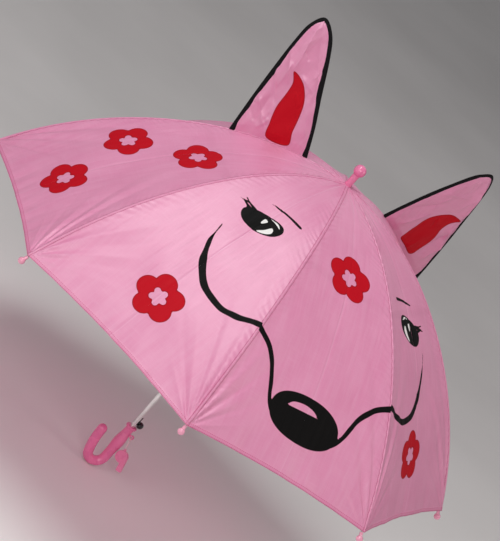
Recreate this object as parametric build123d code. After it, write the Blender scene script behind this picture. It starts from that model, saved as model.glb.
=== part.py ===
from build123d import *
import os
from math import asin, atan2, cos, degrees, hypot, radians, sin, tan

os.makedirs("parts", exist_ok=True)

# A child's stick umbrella, open, standing on +Z. The origin is the middle of the hand grip, on
# the shaft's axis. The nose panel of the animal face looks along -Y and the hook points along -X.
# All lengths are in millimetres and all angles in degrees.

# The canopy: eight panels, and a rib under each seam.
PANEL_COUNT = 8
PANEL_ANGLE = 360.0 / PANEL_COUNT
HALF_PANEL = PANEL_ANGLE / 2
CANOPY_TOP_Z = 488.5
CROWN_RADIUS = 5.0
UPPER_LENGTH = 200.0
LOWER_LENGTH = 300.0
CROWN_SLOPE = 3.7
UPPER_BEND = 27.0
LOWER_BEND = 30.0
FABRIC = 1.0
FABRIC_INNER_RADIUS = 7.0
FABRIC_GAP = 0.15
WEDGE_REACH = 460.0
SLAB_WIDTH = 400.0

# How far a cutting shape runs past the face that it cuts.
OVERCUT = 1.0

# The folding frame.
RIB_TOP_DEPTH = 2.1
RIB_BOTTOM_DEPTH = 5.1
RIB_WIDTH = 2.0
PIN_DEPTH = 4.0
PIVOT_RADIUS = 9.5
EYE_RADIUS = 2.1
CROWN_PIN_RADIUS = 0.6
CROWN_EYE_HOLE = 0.65
KNEE_PIN_RADIUS = 0.8
KNEE_HOLE = 0.85
RIVET_HEAD_RADIUS = 1.4
OUTER_BAR_START = 3.0
OUTER_BLOCK_START = 4.0
OUTER_BLOCK_END = 9.0
OUTER_CHEEK_IN = 1.1
OUTER_CHEEK_OUT = 1.7
OUTER_CHEEK_RADIUS = 1.9
OUTER_CHEEK_TOP_DEPTH = 2.4
OUTER_CHEEK_BOTTOM_DEPTH = 5.0
STRETCHER_CHEEK_IN = 1.85
STRETCHER_CHEEK_OUT = 2.45
STRETCHER_CHEEK_HEIGHT = 2.6
STRETCHER_FORK = 11.0
STRETCHER_BLOCK_END = 14.0
STRETCHER_WIDTH = 1.8
STRETCHER_HEIGHT = 2.4
STRETCHER_EYE_RADIUS = 2.0
RIVET_HEAD_IN = 2.55
RIVET_HEAD_OUT = 3.1
TIP_RADIUS = 4.8
TIP_BEYOND_HEM = 9.5
TIP_SOCKET_RADIUS = 2.4
TIP_SOCKET_OVERLAP = 9.2
RIB_END_BEYOND_HEM = 4.5
TIP_HOLE_BEFORE_HEM = 10.5
KNEE_MARGIN = 0.001

# The shaft, the notches on it and the ferrule.
SHAFT_RADIUS = 3.5
SHAFT_WALL = 0.6
SHAFT_ABOVE_CANOPY = 9.0
SHAFT_IN_HANDLE = 22.0
NOTCH_RADIUS = 13.0
NOTCH_BELOW = 4.0
NOTCH_ABOVE = 1.2
NOTCH_SKIRT_RADIUS = 7.0
NOTCH_SKIRT = 8.0
SLOT_WIDTH = 2.4
SLOT_FLOOR_RADIUS = 7.2
CROWN_PIN_EMBED = 0.6
RUNNER_FLANGE_HALF = 4.0
RUNNER_SLEEVE_RADIUS = 6.8
RUNNER_BEAD_RADIUS = 7.3
RUNNER_BEAD = 4.0
RUNNER_TOP = 7.0
RUNNER_SLEEVE = 56.5
RUNNER_CLEARANCE = 0.06
FERRULE_BASE_RADIUS = 5.8
FERRULE_BASE = 3.0
FERRULE_NECK_RADIUS = 5.0
FERRULE_BALL_RADIUS = 8.8
FERRULE_BALL_Z = 26.0

# The handle, its push button and the whistle on its lug.
HANDLE_TOP_Z = 26.0
FLANGE_RADIUS = 8.6
FLANGE = 4.6
FLANGE_EDGE = 1.84
NECK_RADIUS = 6.4
NECK_BELOW = 8.5
SHANK_RADIUS = 8.4
SHANK_WIDEST_BELOW = 29.0
SHANK = 51.5
HOOK_TUBE_RADIUS = 7.1
HOOK_DROP = 10.0
HOOK_RADIUS = 13.5
HOOK_ARC = 160.0
HOOK_LEG_RADIUS = 115.0
HOOK_LEG_ARC = 20.0
BUTTON_RADIUS = 5.2
BUTTON_CENTRE = 8.9
BUTTON_FLAT = 6.1
BUTTON_ABOVE = 5.6
LEVER_WIDTH = 2.2
LEVER_IN = 3.8
LEVER_OUT = 5.0
LEVER_LENGTH = 18.0
LEVER_SLOT_WIDTH = 2.6
LEVER_SLOT = 20.0
LEVER_SLOT_MARGIN = 1.0
WHISTLE_AZIMUTH = 315.0
LUG_RADIUS = 10.8
LUG_BELOW = 12.9
LUG_OUTER = 3.2
LUG_HOLE = 1.7
LUG_WIDTH = 2.4
LUG_ARM = 4.0
STRAP_RING = 3.0
STRAP_WIRE = 0.7
STRAP_WIDTH = 3.2
STRAP_THICKNESS = 1.0
STRAP_LEAN = 14.0
WHISTLE_DROP = 31.0
WHISTLE_RADIUS = 9.2
WHISTLE_WIDTH = 6.8
MOUTHPIECE_LENGTH = 20.5
MOUTHPIECE_HEIGHT = 7.4
MOUTHPIECE_WIDTH = 5.6
WHISTLE_LUG_HEIGHT = 3.0
WHISTLE_LUG_HALF = 1.4
WHISTLE_LUG_ROOT = 1.5
WHISTLE_EDGE = 1.0
MOUTHPIECE_INSET = 0.2
WINDOW_DEPTH = 2.6
WINDOW_LENGTH = 2.4
WINDOW_WALL = 1.0

# The ears, sewn along the seams over two of the inner ribs.
EAR_THICKNESS = 5.0
LEFT_EAR_BASE = (66.0, 172.0)
RIGHT_EAR_BASE = (104.0, 188.0)
EAR_LIFT = 0.4
EAR_CORNER = 14.0
RIGHT_EAR_RIB = 0
LEFT_EAR_RIB = 3
RIGHT_EAR_LEAN = 11.0

# Points on each ear's outline: distance from the shaft's axis and height over the canopy's top.
LEFT_EAR_APEX = (182.0, 176.0)
LEFT_EAR_OUTER_EDGE = (184.0, 66.0)
LEFT_EAR_INNER_EDGE = (106.0, 76.0)
RIGHT_EAR_APEX = (201.0, 118.0)
RIGHT_EAR_OUTER_EDGE = (239.0, 4.0)
RIGHT_EAR_CORNER = (256.0, -60.0)
RIGHT_EAR_INNER_EDGE = (134.0, 52.0)

UPPER_RADIUS = UPPER_LENGTH / radians(UPPER_BEND)
LOWER_RADIUS = LOWER_LENGTH / radians(LOWER_BEND)
KNEE_SLOPE = CROWN_SLOPE + UPPER_BEND
HEM_SLOPE = KNEE_SLOPE + LOWER_BEND


def profile_point(slope, depth=0.0):
    """Radius and height under a seam, where the canopy falls away at slope, depth inside its face."""
    s = radians(slope)
    crown = radians(CROWN_SLOPE)
    knee = radians(KNEE_SLOPE)
    x = CROWN_RADIUS - UPPER_RADIUS * sin(crown)
    z = CANOPY_TOP_Z - UPPER_RADIUS * cos(crown)
    radius = UPPER_RADIUS
    if slope > KNEE_SLOPE:
        x += (UPPER_RADIUS - LOWER_RADIUS) * sin(knee)
        z += (UPPER_RADIUS - LOWER_RADIUS) * cos(knee)
        radius = LOWER_RADIUS
    return x + (radius - depth) * sin(s), z + (radius - depth) * cos(s)


def slope_at_radius(radius, depth=0.0):
    """The slope of the upper arc at a distance from the axis."""
    x = CROWN_RADIUS - UPPER_RADIUS * sin(radians(CROWN_SLOPE))
    return degrees(asin((radius - x) / (UPPER_RADIUS - depth)))


def beyond_knee(length):
    """The slope of the lower arc a length past the knee."""
    return KNEE_SLOPE + degrees(length / LOWER_RADIUS)


PIN_SLOPE = slope_at_radius(PIVOT_RADIUS, PIN_DEPTH)
PIN_X, PIN_Z = profile_point(PIN_SLOPE, PIN_DEPTH)
KNEE_X, KNEE_Z = profile_point(KNEE_SLOPE, PIN_DEPTH)
CHORD = hypot(KNEE_X - PIN_X, PIN_Z - KNEE_Z)
CHORD_SLOPE = degrees(atan2(PIN_Z - KNEE_Z, KNEE_X - PIN_X))
RUNNER_Z = PIN_Z - 2 * CHORD * sin(radians(CHORD_SLOPE))


def band(slope_a, slope_b, depth_a, depth_b, width, radial=1.0):
    """A strip that follows the canopy's arc in the XZ plane, width wide along Y."""

    def at(slope, depth):
        x, z = profile_point(slope, depth)
        return (x * radial, 0, z)

    middle = (slope_a + slope_b) / 2
    outline = Wire(
        [
            ThreePointArc(at(slope_a, depth_a), at(middle, depth_a), at(slope_b, depth_a)),
            Line(at(slope_b, depth_a), at(slope_b, depth_b)),
            ThreePointArc(at(slope_b, depth_b), at(middle, depth_b), at(slope_a, depth_b)),
            Line(at(slope_a, depth_b), at(slope_a, depth_a)),
        ]
    )
    return extrude(Face(outline), width / 2, dir=(0, 1, 0), both=True)


def pin_along_y(x, z, radius, low, high):
    """A round pin along Y from low to high."""
    pin = Rot(90, 0, 0) * Cylinder(radius, high - low)
    return Pos(x, (low + high) / 2, z) * pin


def box_between(low, high):
    """A block between two corners."""
    size = [b - a for a, b in zip(low, high)]
    middle = [(a + b) / 2 for a, b in zip(low, high)]
    return Pos(*middle) * Box(*size)


def upright(radius, low, high):
    """A cylinder on the shaft's axis from height low to height high."""
    return Pos(0, 0, (low + high) / 2) * Cylinder(radius, high - low)


def canopy_section(slope_a, slope_b):
    """The fabric from the middle of one panel, over a seam, to the middle of the next panel."""
    slab = band(slope_a, slope_b, 0, FABRIC, SLAB_WIDTH, cos(radians(HALF_PANEL)))
    half_angle = radians(HALF_PANEL)
    start = FABRIC_GAP / sin(half_angle)
    side = WEDGE_REACH * tan(half_angle) - FABRIC_GAP / cos(half_angle)
    outline = Polyline((start, 0), (WEDGE_REACH, 0), (WEDGE_REACH, side), close=True)
    wedge = extrude(make_face(outline), CANOPY_TOP_Z)
    half = (Rot(0, 0, HALF_PANEL) * slab) & wedge
    return half + mirror(half, about=Plane.XZ)


def canopy_upper():
    """The fabric that the inner ribs carry."""
    gap = degrees(FABRIC_GAP / UPPER_RADIUS)
    return canopy_section(slope_at_radius(FABRIC_INNER_RADIUS), KNEE_SLOPE - gap)


def canopy_lower():
    """The fabric that the outer ribs carry, down to the hem."""
    gap = degrees(FABRIC_GAP / LOWER_RADIUS)
    return canopy_section(KNEE_SLOPE + gap, HEM_SLOPE)


def rib_inner():
    """A rib from its eye in the crown notch to the rivet at its knee."""
    bar = band(PIN_SLOPE, KNEE_SLOPE, RIB_TOP_DEPTH, RIB_BOTTOM_DEPTH, RIB_WIDTH)
    half = RIB_WIDTH / 2
    crown_eye = pin_along_y(PIN_X, PIN_Z, EYE_RADIUS, -half, half)
    knee_eye = pin_along_y(KNEE_X, KNEE_Z, EYE_RADIUS, -half, half)
    rivet = pin_along_y(KNEE_X, KNEE_Z, KNEE_PIN_RADIUS, -RIVET_HEAD_OUT, RIVET_HEAD_OUT)
    head_a = pin_along_y(KNEE_X, KNEE_Z, RIVET_HEAD_RADIUS, RIVET_HEAD_IN, RIVET_HEAD_OUT)
    head_b = pin_along_y(KNEE_X, KNEE_Z, RIVET_HEAD_RADIUS, -RIVET_HEAD_OUT, -RIVET_HEAD_IN)
    hole = pin_along_y(PIN_X, PIN_Z, CROWN_EYE_HOLE, -half, half)
    return bar + crown_eye - hole + knee_eye + rivet + head_a + head_b


def rib_outer():
    """A rib from its fork at the knee to just past the hem."""
    end = beyond_knee(LOWER_LENGTH + RIB_END_BEYOND_HEM)
    rib = band(beyond_knee(OUTER_BAR_START), end, RIB_TOP_DEPTH, RIB_BOTTOM_DEPTH, RIB_WIDTH)
    top = OUTER_CHEEK_TOP_DEPTH
    bottom = OUTER_CHEEK_BOTTOM_DEPTH
    block_start = beyond_knee(OUTER_BLOCK_START)
    block_end = beyond_knee(OUTER_BLOCK_END)
    rib += band(block_start, block_end, top, bottom, 2 * OUTER_CHEEK_OUT)
    thickness = OUTER_CHEEK_OUT - OUTER_CHEEK_IN
    middle = (OUTER_CHEEK_OUT + OUTER_CHEEK_IN) / 2
    plate = band(KNEE_SLOPE + KNEE_MARGIN, block_end, top, bottom, thickness)
    for side in (-1, 1):
        low, high = sorted((side * OUTER_CHEEK_IN, side * OUTER_CHEEK_OUT))
        rib += Pos(0, side * middle, 0) * plate
        rib += pin_along_y(KNEE_X, KNEE_Z, OUTER_CHEEK_RADIUS, low, high)
    return rib - pin_along_y(KNEE_X, KNEE_Z, KNEE_HOLE, -OUTER_CHEEK_OUT, OUTER_CHEEK_OUT)


def rib_tip():
    """The round end cap on a rib: a socket over the rib's end and a ball past it."""
    ball_slope = beyond_knee(LOWER_LENGTH + TIP_BEYOND_HEM)
    x, z = profile_point(ball_slope, (RIB_TOP_DEPTH + RIB_BOTTOM_DEPTH) / 2)
    socket = Pos(0, 0, TIP_SOCKET_OVERLAP / 2) * Cylinder(TIP_SOCKET_RADIUS, TIP_SOCKET_OVERLAP)
    tip = Pos(x, 0, z) * (Rot(0, ball_slope - 90, 0) * socket + Sphere(TIP_RADIUS))
    end = beyond_knee(LOWER_LENGTH + RIB_END_BEYOND_HEM)
    start = beyond_knee(LOWER_LENGTH - TIP_HOLE_BEFORE_HEM)
    hole = band(start, end, RIB_TOP_DEPTH, RIB_BOTTOM_DEPTH, RIB_WIDTH)
    return tip - hole


def stretcher():
    """A strut from the rivet at a rib's knee to the runner."""
    half = STRETCHER_WIDTH / 2
    tall = STRETCHER_HEIGHT / 2
    cheek = STRETCHER_CHEEK_HEIGHT / 2
    bar = box_between((STRETCHER_FORK, -half, -tall), (CHORD, half, tall))
    out = STRETCHER_CHEEK_OUT
    bar += box_between((STRETCHER_FORK, -out, -cheek), (STRETCHER_BLOCK_END, out, cheek))
    for side in (-1, 1):
        low, high = sorted((side * STRETCHER_CHEEK_IN, side * STRETCHER_CHEEK_OUT))
        bar += box_between((0, low, -cheek), (STRETCHER_BLOCK_END, high, cheek))
        bar += pin_along_y(0, 0, OUTER_CHEEK_RADIUS, low, high)
    bar += pin_along_y(CHORD, 0, STRETCHER_EYE_RADIUS, -half, half)
    bar -= pin_along_y(0, 0, KNEE_HOLE, -out, out)
    bar -= pin_along_y(CHORD, 0, CROWN_EYE_HOLE, -half, half)
    return Pos(KNEE_X, 0, KNEE_Z) * Rot(0, 180 - CHORD_SLOPE, 0) * bar


def slots(low, high):
    """The slots for the ribs or stretchers, between two heights."""
    half = SLOT_WIDTH / 2
    slot = box_between((SLOT_FLOOR_RADIUS, -half, low), (NOTCH_RADIUS + OVERCUT, half, high))
    return [Rot(0, 0, HALF_PANEL + PANEL_ANGLE * i) * slot for i in range(PANEL_COUNT)]


def crown_notch():
    """The slotted collar under the canopy's middle, with the wire that the rib eyes turn on."""
    low = PIN_Z - NOTCH_BELOW
    high = PIN_Z + NOTCH_ABOVE
    notch = upright(NOTCH_RADIUS, low, high)
    notch += upright(NOTCH_SKIRT_RADIUS, low - NOTCH_SKIRT, low)
    for slot in slots(low - OVERCUT, high + OVERCUT):
        notch -= slot
    reach = SLOT_WIDTH / 2 + CROWN_PIN_EMBED
    pin = pin_along_y(PIN_X, PIN_Z, CROWN_PIN_RADIUS, -reach, reach)
    for i in range(PANEL_COUNT):
        notch += Rot(0, 0, HALF_PANEL + PANEL_ANGLE * i) * pin
    return notch - upright(SHAFT_RADIUS, low - NOTCH_SKIRT - OVERCUT, high + OVERCUT)


def runner():
    """The sliding sleeve, with a slotted flange for the stretchers."""
    low = RUNNER_Z - RUNNER_FLANGE_HALF
    high = RUNNER_Z + RUNNER_FLANGE_HALF
    foot = RUNNER_Z - RUNNER_SLEEVE
    body = upright(NOTCH_RADIUS, low, high)
    body += upright(RUNNER_SLEEVE_RADIUS, foot, RUNNER_Z + RUNNER_TOP)
    body += upright(RUNNER_BEAD_RADIUS, foot, foot + RUNNER_BEAD)
    for slot in slots(low - OVERCUT, high + OVERCUT):
        body -= slot
    bore = SHAFT_RADIUS + RUNNER_CLEARANCE
    return body - upright(bore, foot - OVERCUT, RUNNER_Z + RUNNER_TOP + OVERCUT)


def shaft_tube():
    """The thin steel tube, with the slot that the catch lever sinks into."""
    low = HANDLE_TOP_Z - SHAFT_IN_HANDLE
    high = CANOPY_TOP_Z + SHAFT_ABOVE_CANOPY
    tube = upright(SHAFT_RADIUS, low, high) - upright(SHAFT_RADIUS - SHAFT_WALL, low, high)
    half = LEVER_SLOT_WIDTH / 2
    top = HANDLE_TOP_Z + LEVER_SLOT
    bottom = HANDLE_TOP_Z + LEVER_SLOT_MARGIN
    return tube - box_between((0, -half, bottom), (SHAFT_RADIUS + OVERCUT, half, top))


def ferrule_cap():
    """The turned cap on top: a base ring, a neck and a ball."""
    base = CANOPY_TOP_Z
    cap = upright(FERRULE_BASE_RADIUS, base, base + FERRULE_BASE)
    cap += upright(FERRULE_NECK_RADIUS, base, base + FERRULE_BALL_Z)
    cap += Pos(0, 0, base + FERRULE_BALL_Z) * Sphere(FERRULE_BALL_RADIUS)
    return cap - upright(SHAFT_RADIUS, base, base + SHAFT_ABOVE_CANOPY)


def handle():
    """The moulded J handle: flange, waisted shank, narrow hook and the lug for the whistle."""
    top = HANDLE_TOP_Z
    neck = top - NECK_BELOW
    widest = top - SHANK_WIDEST_BELOW
    foot = top - SHANK
    curve = Spline(
        (NECK_RADIUS, 0, neck),
        (SHANK_RADIUS, 0, widest),
        (HOOK_TUBE_RADIUS, 0, foot),
        tangents=[(0, 0, -1), (0, 0, -1)],
    )
    outline = Wire(
        [
            Line((0, 0, top), (NECK_RADIUS, 0, top)),
            Line((NECK_RADIUS, 0, top), (NECK_RADIUS, 0, neck)),
            curve,
            Line((HOOK_TUBE_RADIUS, 0, foot), (0, 0, foot)),
            Line((0, 0, foot), (0, 0, top)),
        ]
    )
    shank = revolve(Face(outline), Axis.Z, 360)
    flange = upright(FLANGE_RADIUS, top - FLANGE, top)
    shank += fillet(flange.edges().filter_by(GeomType.CIRCLE), FLANGE_EDGE)
    path_plane = Plane((0, 0, foot), x_dir=(-1, 0, 0), z_dir=(0, 1, 0))
    drop = Line((0, 0), (0, -HOOK_DROP))
    arc = CenterArc((HOOK_RADIUS, -HOOK_DROP), HOOK_RADIUS, 180, HOOK_ARC)
    end = arc @ 1
    lean = arc % 1
    leg_centre = (end.X - lean.Y * HOOK_LEG_RADIUS, end.Y + lean.X * HOOK_LEG_RADIUS)
    leg = CenterArc(leg_centre, HOOK_LEG_RADIUS, HOOK_ARC - 180, HOOK_LEG_ARC)
    path = path_plane * Wire([drop, arc, leg])
    section = Plane((0, 0, foot), z_dir=(0, 0, -1)) * Circle(HOOK_TUBE_RADIUS)
    hook = sweep(section, path=path)
    tip = path @ 1
    hook += Pos(tip.X, tip.Y, tip.Z) * Sphere(HOOK_TUBE_RADIUS)
    lug_z = top - LUG_BELOW
    lug = pin_along_y(LUG_RADIUS, lug_z, LUG_OUTER, -LUG_WIDTH / 2, LUG_WIDTH / 2)
    lug += box_between(
        (LUG_ARM, -LUG_WIDTH / 2, lug_z - LUG_HOLE), (LUG_RADIUS, LUG_WIDTH / 2, lug_z + LUG_HOLE)
    )
    lug -= pin_along_y(LUG_RADIUS, lug_z, LUG_HOLE, -LUG_WIDTH, LUG_WIDTH)
    body = shank + hook + Rot(0, 0, WHISTLE_AZIMUTH) * lug
    return body - upright(SHAFT_RADIUS, top - SHAFT_IN_HANDLE, top)


def catch_button():
    """The black push button and the catch lever that it carries up the shaft."""
    z = HANDLE_TOP_Z + BUTTON_ABOVE
    knob = Pos(BUTTON_CENTRE, 0, z) * Sphere(BUTTON_RADIUS)
    reach = BUTTON_CENTRE + BUTTON_RADIUS
    knob = knob & box_between(
        (BUTTON_FLAT, -BUTTON_RADIUS, z - BUTTON_RADIUS), (reach, BUTTON_RADIUS, z + BUTTON_RADIUS)
    )
    half = LEVER_WIDTH / 2
    low = z - half
    lever = box_between((LEVER_IN, -half, low), (LEVER_OUT, half, HANDLE_TOP_Z + LEVER_LENGTH))
    arm = box_between((LEVER_IN, -half, low), (BUTTON_CENTRE, half, low + LEVER_WIDTH))
    return knob + lever + arm


def hang(shape):
    """Puts a shape drawn under the lug's eye, hanging along -Z, in its leaning place."""
    lug_z = HANDLE_TOP_Z - LUG_BELOW
    place = Rot(0, 0, WHISTLE_AZIMUTH) * Pos(LUG_RADIUS, 0, lug_z)
    return place * Rot(0, -STRAP_LEAN, 0) * shape


def whistle_strap():
    """The soft plastic link: a ring through the handle's lug and a band down to the whistle."""
    ring = Pos(0, 0, -STRAP_RING) * Rot(0, 90, 0) * Torus(STRAP_RING, STRAP_WIRE)
    whistle_top = -(WHISTLE_DROP - WHISTLE_RADIUS)
    half = STRAP_WIDTH / 2
    thin = STRAP_THICKNESS / 2
    bottom = whistle_top + WHISTLE_LUG_HEIGHT
    link = box_between((-thin, -half, bottom), (thin, half, -2 * STRAP_RING))
    return hang(ring + link)


def whistle():
    """A pea whistle hung by its back: a round chamber, a flat mouthpiece and a small lug."""
    z = -WHISTLE_DROP
    half = WHISTLE_WIDTH / 2
    body = pin_along_y(0, z, WHISTLE_RADIUS, -half, half)
    body = fillet(body.edges().filter_by(GeomType.CIRCLE), WHISTLE_EDGE)
    mouth = MOUTHPIECE_WIDTH / 2
    side = WHISTLE_RADIUS - MOUTHPIECE_HEIGHT
    front = WHISTLE_RADIUS - MOUTHPIECE_INSET
    body += box_between((side, -mouth, z - MOUTHPIECE_LENGTH), (front, mouth, z))
    low = z - WHISTLE_RADIUS - WINDOW_WALL
    high = low + WINDOW_WALL + WINDOW_LENGTH
    wall = mouth - WINDOW_WALL
    body -= box_between((WHISTLE_RADIUS - WINDOW_DEPTH, -wall, low), (WHISTLE_RADIUS, wall, high))
    top = z + WHISTLE_RADIUS
    lug = WHISTLE_LUG_HALF
    body += box_between((-lug, -lug, top - WHISTLE_LUG_ROOT), (lug, lug, top + WHISTLE_LUG_HEIGHT))
    return hang(body)


def ear(base, apex, edge_out, edge_in, lean, corner=None):
    """A flat triangular ear in the plane of its rib, with a round point, sewn along the seam.
    With a corner, its outer side overhangs the seam's end and stands clear of the lower canopy."""
    near, far = base
    base_in = profile_point(slope_at_radius(near), -EAR_LIFT)
    base_middle = profile_point(slope_at_radius((near + far) / 2), -EAR_LIFT)
    base_out = profile_point(slope_at_radius(far), -EAR_LIFT)

    def at(point):
        return (point[0], 0, point[1])

    def lifted(point):
        return (point[0], 0, CANOPY_TOP_Z + point[1])

    outline = [ThreePointArc(at(base_in), at(base_middle), at(base_out))]
    foot = at(base_out)
    if corner:
        outline.append(Line(foot, lifted(corner)))
        foot = lifted(corner)
    outline.append(ThreePointArc(foot, lifted(edge_out), lifted(apex)))
    outline.append(ThreePointArc(lifted(apex), lifted(edge_in), at(base_in)))
    blank = extrude(Face(Wire(outline)), EAR_THICKNESS / 2, dir=(0, 1, 0), both=True)
    point = blank.edges().filter_by(Axis.Y).sort_by(Axis.Z)[-1]
    blank = fillet(point, EAR_CORNER)
    base_line = Axis(at(base_in), (base_out[0] - base_in[0], 0, base_out[1] - base_in[1]))
    return blank.rotate(base_line, lean)


def ear_left():
    """The ear over the left rear rib, standing straight up."""
    edges = (LEFT_EAR_OUTER_EDGE, LEFT_EAR_INNER_EDGE)
    return ear(LEFT_EAR_BASE, LEFT_EAR_APEX, *edges, 0.0)


def ear_right():
    """The ear over the right rear rib, leaning outwards and forwards."""
    edges = (RIGHT_EAR_OUTER_EDGE, RIGHT_EAR_INNER_EDGE)
    return ear(RIGHT_EAR_BASE, RIGHT_EAR_APEX, *edges, RIGHT_EAR_LEAN, RIGHT_EAR_CORNER)


def write(name, shape):
    """Writes one sub-part to its file."""
    shape.label = name
    export_step(shape, "parts/" + name + ".step")


write("shaft_tube", shaft_tube())
write("ferrule_cap", ferrule_cap())
write("crown_notch", crown_notch())
write("runner", runner())
write("handle", handle())
write("catch_button", catch_button())
write("whistle_strap", whistle_strap())
write("whistle", whistle())

REPEATED = {
    "rib_inner": rib_inner(),
    "rib_outer": rib_outer(),
    "rib_tip": rib_tip(),
    "stretcher": stretcher(),
    "canopy_upper": canopy_upper(),
    "canopy_lower": canopy_lower(),
}
for index in range(PANEL_COUNT):
    azimuth = HALF_PANEL + PANEL_ANGLE * index
    for name, shape in REPEATED.items():
        write(name + "_" + str(index + 1), Rot(0, 0, azimuth) * shape)

write("ear_right", Rot(0, 0, HALF_PANEL + PANEL_ANGLE * RIGHT_EAR_RIB) * ear_right())
write("ear_left", Rot(0, 0, HALF_PANEL + PANEL_ANGLE * LEFT_EAR_RIB) * ear_left())
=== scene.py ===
from math import cos, pi, radians, sin, sqrt

import bpy
import numpy as np
from mathutils import Matrix, Vector


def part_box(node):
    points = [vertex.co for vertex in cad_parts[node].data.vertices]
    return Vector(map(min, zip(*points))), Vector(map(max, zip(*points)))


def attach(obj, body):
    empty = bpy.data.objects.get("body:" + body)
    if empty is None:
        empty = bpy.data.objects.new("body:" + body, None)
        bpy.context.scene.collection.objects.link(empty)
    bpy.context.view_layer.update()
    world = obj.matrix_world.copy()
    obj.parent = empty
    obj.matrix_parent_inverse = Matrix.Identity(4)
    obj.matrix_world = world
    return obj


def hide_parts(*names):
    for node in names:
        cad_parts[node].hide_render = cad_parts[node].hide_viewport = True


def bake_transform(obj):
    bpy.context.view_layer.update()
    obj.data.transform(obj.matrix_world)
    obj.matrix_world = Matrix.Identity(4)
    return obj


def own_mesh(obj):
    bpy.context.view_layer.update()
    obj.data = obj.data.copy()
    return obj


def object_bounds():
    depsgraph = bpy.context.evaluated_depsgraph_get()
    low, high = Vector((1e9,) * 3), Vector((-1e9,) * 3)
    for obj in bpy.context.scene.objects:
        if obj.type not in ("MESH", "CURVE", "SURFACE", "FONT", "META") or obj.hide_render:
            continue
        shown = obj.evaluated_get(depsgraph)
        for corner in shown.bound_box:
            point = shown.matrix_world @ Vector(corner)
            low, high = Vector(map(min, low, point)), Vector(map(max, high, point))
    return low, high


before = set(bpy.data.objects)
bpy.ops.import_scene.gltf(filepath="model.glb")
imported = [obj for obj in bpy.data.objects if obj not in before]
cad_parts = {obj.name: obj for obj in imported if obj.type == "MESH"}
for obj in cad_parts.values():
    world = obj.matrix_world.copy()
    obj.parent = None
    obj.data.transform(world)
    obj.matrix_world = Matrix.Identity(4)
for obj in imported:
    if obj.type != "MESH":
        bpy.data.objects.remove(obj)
cad_low, cad_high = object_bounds()

# Lengths in this script are in millimetres along the cloth, and turn into metres where a mesh is
# made. s is the distance down a seam from the crown, u the distance across a panel from its middle.
MM = 0.001
CLOTH_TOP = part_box("ferrule_cap")[0].z / MM
FLOOR_Z = cad_low.z - 0.0005

# The canopy's profile, as the ribs hold it.
PANELS = 8
HALF_PANEL = pi / PANELS
CROWN_RADIUS = 5.0
UPPER_LENGTH = 200.0
LOWER_LENGTH = 300.0
SEAM_LENGTH = UPPER_LENGTH + LOWER_LENGTH
CROWN_SLOPE = radians(3.7)
KNEE_SLOPE = radians(30.7)
HEM_SLOPE = radians(60.7)
UPPER_RADIUS = UPPER_LENGTH / (KNEE_SLOPE - CROWN_SLOPE)
LOWER_RADIUS = LOWER_LENGTH / (HEM_SLOPE - KNEE_SLOPE)

# How the cloth departs from flat panels.
CELL = 2.6
SAG = 4.0
SCALLOP = 6.5
SCALLOP_REACH = 120.0
BROAD_WAVE = 1.0
CROWN_CREASE = 0.5
CROWN_CREASE_REACH = 55.0
WELT = 0.7
WELT_WIDTH = 2.0
PUCKER = 0.45
PUCKER_REACH = 8.0
PUCKER_LENGTH = 12.0
HEM_WIDTH = 5.2
HEM_STEP = 0.4
HEM_WAVE = 0.7
PRESSED_FOLD = 0.45
LAP = 12.0
LAP_DEPTH = 0.4
# Folds that fan out from a tip: turn from the seam, height, and length.
PLEATS = (
    (0.13, -2.8, 170.0), (0.24, 2.4, 130.0), (0.38, -2.2, 120.0),
    (0.56, 1.8, 90.0), (0.78, -1.6, 90.0), (1.05, 1.2, 70.0),
)
PLEAT_WIDTH = 1.8
PLEAT_SPREAD = 0.038

# The zones that each rib carries: start and end down the seam, width kept when closed, and body.
ZONES = (
    (0.0, 50.0, 0.90, "rib_inner_"),
    (50.0, 100.0, 0.45, "rib_inner_"),
    (100.0, 150.0, 0.275, "rib_inner_"),
    (150.0, 200.0, 0.17, "rib_inner_"),
    (200.0, 500.0, 0.12, "rib_outer_"),
)

# The printed face. Its nose is on one panel, and the eyes and cheeks mirror each other beside it.
NOSE_PANEL = 6
NOSE_CENTRE = (0.0, 413.0)
NOSE_HALF_WIDTH = 57.5
NOSE_HALF_HEIGHT = 32.0
NOSE_POWER = 2.25
NOSE_SHINE = ((-34, 405), (-25, 397), (-9, 393.5), (6, 395), (18, 401))
EYE = (
    (-30, 226), (-31, 216), (-20, 204), (-4, 196), (13, 192), (24, 195),
    (28, 205), (23, 219), (6, 231), (-12, 235), (-23, 233),
)
LASHES = (((-47, 210), (-38, 209), (-26, 213)), ((-44, 201), (-34, 205), (-21, 206)))
EYE_SHINES = (
    ((3, 230), (9, 219), (13, 208), (17.5, 210), (18.5, 217), (12, 225)),
    ((-2, 215), (-3, 204), (2, 203.5), (2.5, 207)),
    ((-1, 198), (7, 194.8), (15, 195.4), (21, 200.5), (14.5, 198.5), (7, 197)),
)
BROW = ((-15, 175), (9, 170.5), (34, 170.5))
CHEEK = (
    (-29, 264), (-20, 297), (-5, 323), (11, 340), (29, 351),
    (48, 355), (66, 355), (87, 347), (106, 335), (124, 329),
)
MUZZLE = (
    (-124, 331), (-109, 338), (-92, 350), (-79, 367), (-70, 389), (-63, 408), (-52, 424), (-38, 430),
)
# Each eye: panel, how far it moves across and down from EYE, and its turn in degrees.
EYES = ((5, 0, 0, 0), (7, 8, 17, -9))
EYE_CENTRE = (-2, 215)

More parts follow.
